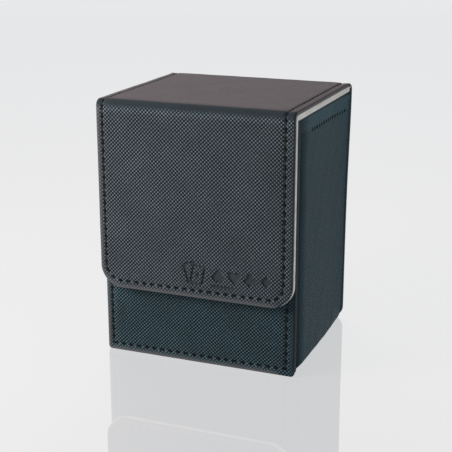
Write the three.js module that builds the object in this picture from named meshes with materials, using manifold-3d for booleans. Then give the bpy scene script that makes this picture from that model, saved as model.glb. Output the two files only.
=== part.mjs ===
// Flip-top box for a deck of sleeved trading cards. Stiff boards wrapped in embossed leather
// make five walls, and one wrapped strip carries on over the top as a lid and down the front
// as a flap. The strip bends at two soft folds, which are the box's only hinges. The lid and
// the flap are lined inside with a pale microfibre lining, and magnets hold the flap shut.
//
// Millimetres, +Z up, front towards -Y. The origin is on the floor, under the middle.

import * as THREE from "three";
import { mergeVertices } from "three/addons/utils/BufferGeometryUtils.js";
import Module from "manifold-3d";

const wasm = await Module();
wasm.setup();

// The whole closed box.
const HALF_WIDTH = 40;
const HALF_DEPTH = 37.25;
const HEIGHT = 104.3;

// Thicknesses of the materials, and the gap between any two of them.
const LEATHER = 0.7;
const LINING = 0.5;
const WRAP = 1.5; // leather and card together, in the strip that bends
const PAD = 2.4; // lining and board together, inside the lid and the flap
const GAP = 0.05;
const LID_GAP = 0.3; // air between the closed lid or flap and the box
const PAST = 1; // how far a cutting tool runs past what it cuts

// The two folds: quarter turns about a line along X.
const FOLD_RADIUS = 3;
const FOLD_Y = HALF_DEPTH - FOLD_RADIUS;
const FOLD_Z = HEIGHT - FOLD_RADIUS;
const FOLD_LINING_OUTER = FOLD_RADIUS - LEATHER - GAP;
const FOLD_LINING = 0.4;
const FOLD_LINING_INNER = FOLD_LINING_OUTER - FOLD_LINING;
const FOLD_LINING_HALF = HALF_WIDTH - 0.4;
const FOLD_STEPS = 8;
const CORNER_STEPS = 6;

// The flap, the back panel and the box's front wall, each an outline in X and Z.
const FLAP = { half: HALF_WIDTH, low: 28.9, high: FOLD_Z - GAP, lowRadius: 9, open: true };
const BACK = { half: HALF_WIDTH, low: 0, high: FOLD_Z - GAP, lowRadius: 5, open: true };
const FLAP_FACE = -HALF_DEPTH;
const FLAP_INSIDE = FLAP_FACE + WRAP + PAD;
const RIM = HEIGHT - WRAP - PAD - LID_GAP;
const FRONT = { half: HALF_WIDTH, low: 0, high: RIM, lowRadius: 1.5, highRadius: 1.5 };
const FRONT_FACE = FLAP_INSIDE + LID_GAP;
const FRONT_WALL = 4.45;
const FRONT_INSIDE = FRONT_FACE + FRONT_WALL;

// The side walls, whose leather rolls in towards the front wall.
const SIDE_FACE = 38.8;
const SIDE_INSIDE = 34.6;
const SIDE_ROLL = 1.5;
const SIDE_ROLL_LENGTH = 11;
const ROLL_STEPS = 8;
const SIDE_FRONT = FRONT_INSIDE + GAP;
const SIDE_BACK = HALF_DEPTH - WRAP - GAP;
const BACK_INSIDE = 33;
const FLOOR_INSIDE = 3.8;

// Stitching: a channel pressed into the leather with a thread lying in it.
const SEAM_INSET = 3;
const FRONT_SEAM_INSET = 2.9;
const CHANNEL_WIDTH = 1;
const CHANNEL_DEPTH = 0.35;
const THREAD_WIDTH = 0.7;
const THREAD_THICK = 0.28;
const SIDE_SEAM_Z = 93.6;
const SIDE_SEAM_FRONT = -14;
const SIDE_SEAM_BACK = 31;

// Magnets: four discs, two in the flap facing two in the front wall.
const MAGNET_RADIUS = 6;
const MAGNET_THICK = 1.2;
const MAGNET_X = 22;
const MAGNET_Z = 42;
const MAGNET_SIDES = 24;

const leather = (color) => new THREE.MeshStandardMaterial({ color, roughness: 0.55, metalness: 0 });
const fabric = (color) => new THREE.MeshStandardMaterial({ color, roughness: 0.9, metalness: 0 });
const LEATHER_LOOK = leather(0x2d2e32);
const LINING_LOOK = fabric(0xc6c1b6);
const THREAD_LOOK = fabric(0x1b1b1d);
const BOARD_LOOK = fabric(0x9a9080);
const MAGNET_LOOK = new THREE.MeshStandardMaterial({ color: 0xb9bbbe, roughness: 0.25, metalness: 1 });

// --- solids ---------------------------------------------------------------------------------

function solidOf(geometry) {
  const bare = geometry.clone();
  bare.deleteAttribute("normal");
  bare.deleteAttribute("uv");
  const welded = mergeVertices(bare, 1e-4);
  return new wasm.Manifold(
    new wasm.Mesh({
      numProp: 3,
      vertProperties: new Float32Array(welded.attributes.position.array),
      triVerts: new Uint32Array(welded.index.array),
    }),
  );
}

function geometryOf(solid) {
  const mesh = solid.getMesh();
  const geometry = new THREE.BufferGeometry();
  geometry.setAttribute("position", new THREE.BufferAttribute(mesh.vertProperties, 3));
  geometry.setIndex(new THREE.BufferAttribute(mesh.triVerts, 1));
  geometry.computeVertexNormals();
  return geometry;
}

// A box between two corners.
function block(x0, x1, y0, y1, z0, z1) {
  const geometry = new THREE.BoxGeometry(x1 - x0, y1 - y0, z1 - z0);
  geometry.translate((x0 + x1) / 2, (y0 + y1) / 2, (z0 + z1) / 2);
  return solidOf(geometry);
}

function extrude(shape, depth, curveSegments = CORNER_STEPS) {
  return new THREE.ExtrudeGeometry(shape, { depth, curveSegments, bevelEnabled: false });
}

// A shape drawn in X and Y, standing from one height to another.
function upright(shape, z0, z1) {
  return solidOf(extrude(shape, z1 - z0).translate(0, 0, z0));
}

// A shape drawn in X and Z, running from one Y to another.
function facing(shape, ya, yb) {
  const geometry = extrude(shape, Math.abs(yb - ya));
  geometry.rotateX(Math.PI / 2);
  return solidOf(geometry.translate(0, Math.max(ya, yb), 0));
}

// A shape drawn in Y and Z, running from one X to another.
function across(shape, x0, x1) {
  const turn = new THREE.Matrix4().set(0, 0, 1, x0, 1, 0, 0, 0, 0, 1, 0, 0, 0, 0, 0, 1);
  return solidOf(extrude(shape, x1 - x0, FOLD_STEPS).applyMatrix4(turn));
}

const mirrored = (solid) => solid.mirror([1, 0, 0]);

// --- outlines -------------------------------------------------------------------------------

// A panel's outline, moved in by an inset. An open panel keeps its top edge, where the fold is.
function outline(panel, inset = 0, lift = 0) {
  const half = panel.half - inset;
  const low = panel.low + inset;
  const high = (panel.open ? panel.high : panel.high - inset) + lift;
  const lowRadius = Math.max(panel.lowRadius - inset, 0);
  const highRadius = Math.max((panel.highRadius ?? 0) - inset, 0);
  const shape = new THREE.Shape();
  const corner = (x, z, radius, from) => {
    if (radius > 0) shape.absarc(x, z, radius, from, from + Math.PI / 2, false);
    else shape.lineTo(x, z);
  };
  shape.moveTo(-half + lowRadius, low);
  corner(half - lowRadius, low + lowRadius, lowRadius, -Math.PI / 2);
  corner(half - highRadius, high - highRadius, highRadius, 0);
  corner(-half + highRadius, high - highRadius, highRadius, Math.PI / 2);
  corner(-half + lowRadius, low + lowRadius, lowRadius, Math.PI);
  return shape;
}

function polygon(points) {
  const shape = new THREE.Shape();
  points.forEach(([u, v], i) => (i ? shape.lineTo(u, v) : shape.moveTo(u, v)));
  return shape;
}

// The band that follows a panel's edge at an inset, as a solid between two Y planes.
function band(panel, inset, width, ya, yb) {
  const lift = panel.open ? PAST : 0;
  const outer = facing(outline(panel, inset - width / 2), ya, yb);
  const inner = facing(outline(panel, inset + width / 2, lift), ya - PAST, yb + PAST);
  return outer.subtract(inner);
}

// The right side wall in plan: flat inside, and rolling in towards the front outside.
function sideSection(inset, inside, front, back) {
  const shape = new THREE.Shape();
  shape.moveTo(inside, front);
  for (let i = 0; i <= ROLL_STEPS; i++) {
    const t = i / ROLL_STEPS;
    const dip = (SIDE_ROLL * (1 + Math.cos(Math.PI * t))) / 2;
    shape.lineTo(SIDE_FACE - inset - dip, front + t * SIDE_ROLL_LENGTH);
  }
  shape.lineTo(SIDE_FACE - inset, back);
  shape.lineTo(inside, back);
  return shape;
}

// --- pieces ---------------------------------------------------------------------------------

const deckBox = new THREE.Group();

function add(name, solid, look) {
  const mesh = new THREE.Mesh(geometryOf(solid), look);
  mesh.name = name;
  deckBox.add(mesh);
}

// Leather laid over a panel's face and turned round its edges, with a channel for the thread.
function leatherTray(panel, face, depth, seamInset) {
  const inward = face < 0 ? 1 : -1;
  const skin = facing(outline(panel), face, face + inward * depth);
  const core = facing(
    outline(panel, LEATHER, panel.open ? PAST : 0),
    face + inward * LEATHER,
    face + inward * (depth + PAST),
  );
  const channelFloor = face + inward * CHANNEL_DEPTH;
  const channel = band(panel, seamInset, CHANNEL_WIDTH, face - inward * PAST, channelFloor);
  return skin.subtract(core).subtract(channel);
}

// The thread, lying on the floor of its channel.
function panelThread(panel, face, seamInset) {
  const inward = face < 0 ? 1 : -1;
  const floor = face + inward * (CHANNEL_DEPTH - GAP);
  return band(panel, seamInset, THREAD_WIDTH, floor - inward * THREAD_THICK, floor);
}

// A disc of magnet, or the pocket for one, standing on its edge.
function disc(x, z, radius, y0, y1) {
  const geometry = new THREE.CylinderGeometry(radius, radius, y1 - y0, MAGNET_SIDES);
  return solidOf(geometry.translate(x, (y0 + y1) / 2, z));
}

function addMagnets(prefix, y0) {
  add(`${prefix}_left`, disc(-MAGNET_X, MAGNET_Z, MAGNET_RADIUS, y0, y0 + MAGNET_THICK), MAGNET_LOOK);
  add(`${prefix}_right`, disc(MAGNET_X, MAGNET_Z, MAGNET_RADIUS, y0, y0 + MAGNET_THICK), MAGNET_LOOK);
}

function magnetPockets(y0, y1) {
  const radius = MAGNET_RADIUS + GAP;
  return disc(-MAGNET_X, MAGNET_Z, radius, y0, y1).add(disc(MAGNET_X, MAGNET_Z, radius, y0, y1));
}

// One fold: a quarter turn of leather over a quarter turn of lining.
function foldArc(side, inner, outer) {
  const from = side < 0 ? Math.PI / 2 : 0;
  const shape = new THREE.Shape();
  shape.absarc(side * FOLD_Y, FOLD_Z, outer, from, from + Math.PI / 2, false);
  shape.absarc(side * FOLD_Y, FOLD_Z, inner, from + Math.PI / 2, from, true);
  return shape;
}

function addFold(name, side) {
  const leatherArc = foldArc(side, FOLD_RADIUS - LEATHER, FOLD_RADIUS);
  const liningArc = foldArc(side, FOLD_LINING_INNER, FOLD_LINING_OUTER);
  add(`${name}_hinge_leather`, across(leatherArc, -HALF_WIDTH, HALF_WIDTH), LEATHER_LOOK);
  add(`${name}_hinge_lining`, across(liningArc, -FOLD_LINING_HALF, FOLD_LINING_HALF), LINING_LOOK);
}

// The pads' ends at the front fold are mitred, and clear the fold's lining. The mitre runs
// from the inside corner towards the fold, and the flap's end mirrors the lid's in it.
const MITRE_RUN = 2.15;
const PAD_SHOULDER = 0.85;
const LID_PAD_TOP = HEIGHT - WRAP - GAP;
const LID_UNDERSIDE = HEIGHT - WRAP - PAD;
const PAD_SIDE_INSET = 0.3;
const PAD_HALF = HALF_WIDTH - PAD_SIDE_INSET;

function addLid() {
  const boardTop = HEIGHT - LEATHER - GAP;
  const end = FOLD_Y - GAP;
  const skin = block(-HALF_WIDTH, HALF_WIDTH, -end, end, HEIGHT - WRAP, HEIGHT);
  const half = HALF_WIDTH - LEATHER;
  const core = block(-half, half, -end - PAST, end + PAST, HEIGHT - WRAP - PAST, HEIGHT - LEATHER);
  let cover = skin.subtract(core);
  const seamX = HALF_WIDTH - SEAM_INSET;
  const channel = block(
    seamX - CHANNEL_WIDTH / 2,
    seamX + CHANNEL_WIDTH / 2,
    -end - PAST,
    end + PAST,
    HEIGHT - CHANNEL_DEPTH,
    HEIGHT + PAST,
  );
  cover = cover.subtract(channel).subtract(mirrored(channel));
  add("lid_cover", cover, LEATHER_LOOK);
  add("lid_board", block(-half + GAP, half - GAP, -end, end, HEIGHT - WRAP, boardTop), BOARD_LOOK);

  const threadFloor = HEIGHT - CHANNEL_DEPTH + GAP;
  const thread = block(
    seamX - THREAD_WIDTH / 2,
    seamX + THREAD_WIDTH / 2,
    -end,
    end,
    threadFloor,
    threadFloor + THREAD_THICK,
  );
  add("lid_thread_right", thread, THREAD_LOOK);
  add("lid_thread_left", mirrored(thread), THREAD_LOOK);

  const front = FLAP_INSIDE + GAP;
  const pad = across(
    polygon([
      [front, LID_UNDERSIDE],
      [SIDE_BACK - LINING, LID_UNDERSIDE],
      [SIDE_BACK - GAP, LID_UNDERSIDE + LINING],
      [SIDE_BACK - GAP, LID_PAD_TOP - LINING],
      [FOLD_Y + PAD_SHOULDER, LID_PAD_TOP],
      [-FOLD_Y - PAD_SHOULDER, LID_PAD_TOP],
      [front - MITRE_RUN, LID_UNDERSIDE + MITRE_RUN],
    ]),
    -PAD_HALF,
    PAD_HALF,
  );
  const boardHalf = PAD_HALF - LINING;
  const boardLow = LID_UNDERSIDE + LINING;
  const boardFront = -FOLD_Y + LINING;
  const boardSpace = block(-boardHalf, boardHalf, boardFront, FOLD_Y, boardLow, HEIGHT);
  add("lid_lining", pad.subtract(boardSpace), LINING_LOOK);
  const board = block(
    -boardHalf + GAP,
    boardHalf - GAP,
    boardFront + GAP,
    FOLD_Y - GAP,
    boardLow + GAP,
    LID_PAD_TOP,
  );
  add("lid_lining_board", board, BOARD_LOOK);
}

function addFlap() {
  const cardBack = FLAP_FACE + WRAP;
  add("flap_cover", leatherTray(FLAP, FLAP_FACE, WRAP, SEAM_INSET), LEATHER_LOOK);
  const card = facing(outline(FLAP, LEATHER + GAP), FLAP_FACE + LEATHER + GAP, cardBack);
  add("flap_board", card, BOARD_LOOK);
  add("flap_thread", panelThread(FLAP, FLAP_FACE, SEAM_INSET), THREAD_LOOK);

  const padFront = cardBack + GAP;
  const sheet = facing(outline(FLAP, PAD_SIDE_INSET, PAST + PAD), padFront, FLAP_INSIDE);
  const keep = across(
    polygon([
      [FLAP_INSIDE, 0],
      [FLAP_INSIDE, LID_UNDERSIDE - GAP],
      [FLAP_INSIDE - MITRE_RUN, LID_UNDERSIDE - GAP + MITRE_RUN],
      [padFront, FOLD_Z + PAD_SHOULDER],
      [padFront, 0],
    ]),
    -HALF_WIDTH,
    HALF_WIDTH,
  );
  const boardTop = { ...FLAP, high: FOLD_Z - LINING };
  const boardBack = FLAP_INSIDE - LINING;
  const inset = PAD_SIDE_INSET + LINING;
  const boardSpace = facing(outline(boardTop, inset), padFront - PAST, boardBack);
  add("flap_lining", sheet.intersect(keep).subtract(boardSpace), LINING_LOOK);

  const board = facing(outline(boardTop, inset + GAP, -GAP), padFront, boardBack - GAP);
  const pocketFloor = boardBack - GAP - MAGNET_THICK - GAP;
  add("flap_lining_board", board.subtract(magnetPockets(pocketFloor, boardBack + PAST)), BOARD_LOOK);
  addMagnets("flap_magnet", pocketFloor + GAP);
}

function addFrontWall() {
  const liningFront = FRONT_INSIDE - LINING;
  add("front_cover", leatherTray(FRONT, FRONT_FACE, FRONT_WALL, FRONT_SEAM_INSET), LEATHER_LOOK);
  add("front_thread", panelThread(FRONT, FRONT_FACE, FRONT_SEAM_INSET), THREAD_LOOK);
  const boardFront = FRONT_FACE + LEATHER + GAP;
  const board = facing(outline(FRONT, LEATHER + GAP), boardFront, liningFront - GAP);
  const pocketFloor = boardFront + MAGNET_THICK + 2 * GAP;
  add("front_board", board.subtract(magnetPockets(boardFront - PAST, pocketFloor)), BOARD_LOOK);
  addMagnets("front_magnet", boardFront);
  const sheet = facing(outline(FRONT, LEATHER + GAP), liningFront, FRONT_INSIDE);
  add("front_lining", sheet, LINING_LOOK);
}

function addBackWall() {
  const cardFront = HALF_DEPTH - WRAP;
  add("back_cover", leatherTray(BACK, HALF_DEPTH, WRAP, SEAM_INSET), LEATHER_LOOK);
  const card = facing(outline(BACK, LEATHER + GAP), cardFront, HALF_DEPTH - LEATHER - GAP);
  add("back_board", card, BOARD_LOOK);
  add("back_thread", panelThread(BACK, HALF_DEPTH, SEAM_INSET), THREAD_LOOK);

  const half = SIDE_INSIDE + LINING;
  const floor = LEATHER + GAP;
  const boardTop = RIM - LINING - GAP;
  const board = block(-half, half, BACK_INSIDE + LINING + GAP, SIDE_BACK, floor, boardTop);
  add("back_inner_board", board, BOARD_LOOK);
  const sheet = block(-SIDE_INSIDE, SIDE_INSIDE, BACK_INSIDE, BACK_INSIDE + LINING, FLOOR_INSIDE, RIM);
  const cap = block(-SIDE_INSIDE, SIDE_INSIDE, BACK_INSIDE, SIDE_BACK, RIM - LINING, RIM);
  add("back_lining", sheet.add(cap), LINING_LOOK);
}

function addSideWalls() {
  const boardInside = SIDE_INSIDE + LINING + GAP;
  const skin = upright(sideSection(0, boardInside, SIDE_FRONT, SIDE_BACK), 0, RIM);
  const hollow = upright(
    sideSection(LEATHER, boardInside - PAST, SIDE_FRONT, SIDE_BACK),
    -PAST,
    RIM - LEATHER,
  );
  const channel = block(
    SIDE_FACE - CHANNEL_DEPTH,
    SIDE_FACE + PAST,
    SIDE_SEAM_FRONT,
    SIDE_SEAM_BACK,
    SIDE_SEAM_Z - CHANNEL_WIDTH / 2,
    SIDE_SEAM_Z + CHANNEL_WIDTH / 2,
  );
  const board = upright(
    sideSection(LEATHER + GAP, boardInside, SIDE_FRONT, SIDE_BACK),
    LEATHER + GAP,
    RIM - LEATHER - GAP,
  );
  const threadFloor = SIDE_FACE - CHANNEL_DEPTH + GAP;
  const thread = block(
    threadFloor,
    threadFloor + THREAD_THICK,
    SIDE_SEAM_FRONT + GAP,
    SIDE_SEAM_BACK - GAP,
    SIDE_SEAM_Z - THREAD_WIDTH / 2,
    SIDE_SEAM_Z + THREAD_WIDTH / 2,
  );
  const lining = block(
    SIDE_INSIDE,
    SIDE_INSIDE + LINING,
    SIDE_FRONT,
    BACK_INSIDE + LINING,
    FLOOR_INSIDE,
    RIM,
  ).subtract(block(0, SIDE_INSIDE + GAP, BACK_INSIDE - GAP, HALF_DEPTH, 0, HEIGHT));
  const pieces = {
    cover: [skin.subtract(hollow).subtract(channel), LEATHER_LOOK],
    board: [board, BOARD_LOOK],
    lining: [lining, LINING_LOOK],
    thread: [thread, THREAD_LOOK],
  };
  for (const [part, [solid, look]] of Object.entries(pieces)) {
    add(`right_side_${part}`, solid, look);
    add(`left_side_${part}`, mirrored(solid), look);
  }
}

function addBottom() {
  const side = upright(sideSection(LEATHER + GAP, 0, SIDE_FRONT, SIDE_BACK), 0, LEATHER);
  add("bottom_cover", side.add(mirrored(side)), LEATHER_LOOK);
  const half = SIDE_INSIDE + LINING;
  const boardTop = FLOOR_INSIDE - LINING - GAP;
  const boardBack = BACK_INSIDE + LINING;
  const board = block(-half, half, SIDE_FRONT, boardBack, LEATHER + GAP, boardTop);
  add("bottom_board", board, BOARD_LOOK);
  const sheet = block(-half, half, SIDE_FRONT, boardBack, FLOOR_INSIDE - LINING, FLOOR_INSIDE - GAP);
  add("bottom_lining", sheet, LINING_LOOK);
}

addLid();
addFlap();
addFold("front", -1);
addFold("rear", 1);
addFrontWall();
addBackWall();
addSideWalls();
addBottom();

export default deckBox;
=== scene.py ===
"""The looks of a flip-top card deck box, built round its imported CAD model.

Mesh code works in millimetres in the CAD model's own frame, and add_mesh turns them into
metres. One long strip of leather makes the flap, the lid and the back, so those pieces are
slices of one surface, and its seam runs unbroken over both folds.
"""
import math

import bpy
import numpy as np
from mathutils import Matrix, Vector
from mathutils.kdtree import KDTree


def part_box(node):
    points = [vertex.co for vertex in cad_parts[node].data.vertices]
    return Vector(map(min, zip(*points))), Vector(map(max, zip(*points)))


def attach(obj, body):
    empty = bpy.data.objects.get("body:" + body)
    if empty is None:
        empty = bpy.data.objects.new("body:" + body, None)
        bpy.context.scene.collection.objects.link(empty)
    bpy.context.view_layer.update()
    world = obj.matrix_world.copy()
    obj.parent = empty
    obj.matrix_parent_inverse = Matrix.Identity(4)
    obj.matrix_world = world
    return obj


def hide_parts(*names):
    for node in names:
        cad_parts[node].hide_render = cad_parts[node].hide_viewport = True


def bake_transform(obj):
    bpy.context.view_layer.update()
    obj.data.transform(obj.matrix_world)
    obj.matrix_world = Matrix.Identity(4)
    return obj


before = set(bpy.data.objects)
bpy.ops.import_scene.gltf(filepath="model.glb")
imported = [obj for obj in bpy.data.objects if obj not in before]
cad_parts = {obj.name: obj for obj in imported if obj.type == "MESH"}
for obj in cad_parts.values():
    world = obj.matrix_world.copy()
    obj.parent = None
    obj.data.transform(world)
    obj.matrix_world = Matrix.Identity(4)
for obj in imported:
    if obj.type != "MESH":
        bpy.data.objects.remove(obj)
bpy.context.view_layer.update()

MM = 0.001


def box_mm(node):
    """A CAD node's lowest and highest corners, in millimetres."""
    low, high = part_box(node)
    return np.array(low) / MM, np.array(high) / MM


# --- sizes read from the frame ---

LID_LOW, LID_HIGH = box_mm("lid_cover")
FLAP_LOW, _ = box_mm("flap_cover")
FRONT_LOW, FRONT_HIGH = box_mm("front_cover")
SIDE_LOW, SIDE_HIGH = box_mm("right_side_cover")
FOLD_LOW, FOLD_HIGH = box_mm("front_hinge_leather")
LID_PAD_LOW, LID_PAD_HIGH = box_mm("lid_lining")
FLAP_PAD_LOW, FLAP_PAD_HIGH = box_mm("flap_lining")
CAP_LOW, CAP_HIGH = box_mm("back_lining")
SIDE_SEAM_LOW, SIDE_SEAM_HIGH = box_mm("right_side_thread")

HALF = LID_HIGH[0]
TOP = LID_HIGH[2]
FACE = -FLAP_LOW[1]
FOLD_R = FOLD_HIGH[1] - FOLD_LOW[1]
FOLD_Y = FACE - FOLD_R
FOLD_Z = TOP - FOLD_R
WRAP = TOP - LID_LOW[2]
RIM = FRONT_HIGH[2]

# --- sizes chosen here ---

FLAP_CORNER = 9.0
BACK_CORNER = 5.0
FRONT_CORNER = 1.5
SHEET = 0.35  # thickness of the leather
CLOTH = 0.45  # thickness of the lining
CLOTH_EDGE_R = 0.55
EDGE_R = 0.45  # rounding where leather turns over the edge of a board
FAR = 20.0  # a distance from a seam at which it no longer shows
FLANGE = 1.7  # how far the turned leather goes in behind its board
FRONT_FLANGE = 5.5
SEAM_INSET = 3.0
FRONT_SEAM_INSET = 2.9
SEAM_SHIFT = -0.4  # the seams were sewn a little towards the left
CHANNEL = 0.42  # half the width of the channel that a seam pulls into the leather
STITCH_PITCH = 3.45
SIDE_PITCH = 3.0
STITCH_LENGTH = 2.0
SIDE_STITCH_LENGTH = 1.8
STITCH_SUNK = 0.34  # how far under the leather's face a stitch's middle lies
SIDE_STITCH_SUNK = 0.3
THREAD_R = 0.27
THREAD_RINGS, THREAD_SIDES = 11, 8
GRAIN_PITCH = 1.492  # one full repeat of the embossed lattice

# How far in from an edge the mesh has its first lines: close together over the rounding, the
# seam channel and the bead between them.
EDGE_LINES = (0, 0.02, 0.07, 0.15, 0.28, 0.45, 0.75, 1.1, 1.45, 1.8, 2.1, 2.35, 2.6, 2.85, 3.1, 3.35, 3.6)
STEP = 0.6
FINE_STEP = 0.23
FOLD_ANGLES = (0, 0.6, 1.8, 4, 8, 14, 21, 29, 37, 45, 53, 61, 69, 76, 82, 86, 88.2, 89.4, 90)


# --- small mesh kit ---

def stations(low, high, dense_low=True, dense_high=True, fine=None):
    """Line positions from low to high: EDGE_LINES at dense ends, STEP between, FINE_STEP in one stretch."""
    start = [low + d for d in EDGE_LINES] if dense_low else [low]
    end = [high - d for d in reversed(EDGE_LINES)] if dense_high else [high]
    marks = [start[-1], *(fine or ()), end[0]]
    middle = []
    for i, (a, b) in enumerate(zip(marks, marks[1:])):
        step = FINE_STEP if fine and i == 1 else STEP
        count = max(1, round((b - a) / step))
        middle += [a + (b - a) * k / count for k in range(count)]
    return np.array(start[:-1] + middle + end)


def ripple(a, b):
    """A slow, shallow unevenness between about -1 and 1, the same each run."""
    wave = np.sin(0.21 * a + 0.8) * np.sin(0.17 * b + 0.3)
    wave += 0.6 * np.sin(0.43 * a - 0.31 * b + 2.0)
    wave += 0.4 * np.sin(0.77 * b + 0.52 * a + 1.1) * np.sin(0.39 * a + 0.2)
    return wave / 2


def ramp(value, low, high):
    """Rises from 0 to 1 as value goes from low to high."""
    return np.clip((value - low) / (high - low), 0, 1)


def bell(distance, width):
    return np.exp(-((distance / width) ** 2))


def edge_drop(from_edge, radius):
    """How far a face that is rounded at its edge has dropped at distances in from the edge."""
    near = np.clip(radius - from_edge, 0, radius)
    return radius - np.sqrt(radius**2 - near**2)


def under_stitch(turns):
    """How much of a stitch's pull is felt at each point of a seam, counted in stitches along it."""
    return ramp(np.cos(2 * math.pi * turns), -0.35, 0.55)


def grid_quads(rows, columns):
    """Quads of a grid whose points are numbered row by row."""
    r, c = np.meshgrid(np.arange(rows - 1), np.arange(columns - 1), indexing="ij")
    i = (r * columns + c).ravel()
    return np.stack([i, i + 1, i + columns + 1, i + columns], 1)


def vertex_normals(points, quads):
    """Area-weighted normals at the points of a quad mesh."""
    p = points[quads]
    cross = np.cross(p[:, 2] - p[:, 0], p[:, 3] - p[:, 1])
    normals = np.zeros_like(points)
    for k in range(4):
        np.add.at(normals, quads[:, k], cross)
    return normals / np.maximum(np.linalg.norm(normals, axis=1, keepdims=True), 1e-12)


def thicken(points, quads, thickness, outside):
    """Closes an open sheet with a second face behind it. outside is a direction its middle faces."""
    normals = vertex_normals(points, quads)
    if (normals @ np.array(outside, float)).mean() < 0:
        quads = quads[:, ::-1]
        normals = -normals
    count = len(points)
    forward = np.concatenate([quads[:, [k, (k + 1) % 4]] for k in range(4)])
    codes = forward[:, 0] * count + forward[:, 1]
    rim = forward[~np.isin(codes, forward[:, 1] * count + forward[:, 0])]
    sides = np.stack([rim[:, 1], rim[:, 0], rim[:, 0] + count, rim[:, 1] + count], 1)
    faces = np.concatenate([quads, quads[:, ::-1] + count, sides])
    return np.concatenate([points, points - normals * thickness]), faces.tolist()


def add_mesh(name, points, faces, material, sharp=48.0, **attributes):
    """An object from millimetre points. attributes are values or vectors at the points."""
    mesh = bpy.data.meshes.new(name)
    mesh.from_pydata((points * MM).tolist(), [], faces)
    for key, values in attributes.items():
        if values.ndim == 2:
            padded = np.zeros((len(points), 3), np.float32)
            padded[:, : values.shape[1]] = values
            mesh.attributes.new(key, "FLOAT_VECTOR", "POINT").data.foreach_set("vector", padded.ravel())
        else:
            mesh.attributes.new(key, "FLOAT", "POINT").data.foreach_set("value", values.astype(np.float32))
    mesh.polygons.foreach_set("use_smooth", np.ones(len(faces), bool))
    mesh.validate()
    if sharp:
        mesh.set_sharp_from_angle(angle=math.radians(sharp))
    mesh.materials.append(material)
    return add_object(name, mesh)


def add_object(name, data):
    made = bpy.data.objects.new(name, data)
    bpy.context.scene.collection.objects.link(made)
    return made


def finish_piece(piece, body, slot, *nodes):
    """Rides a piece on a body, and hides the CAD nodes it stands for. slot is not used."""
    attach(piece, body)
    if nodes:
        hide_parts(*nodes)


# --- panels ---

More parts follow.
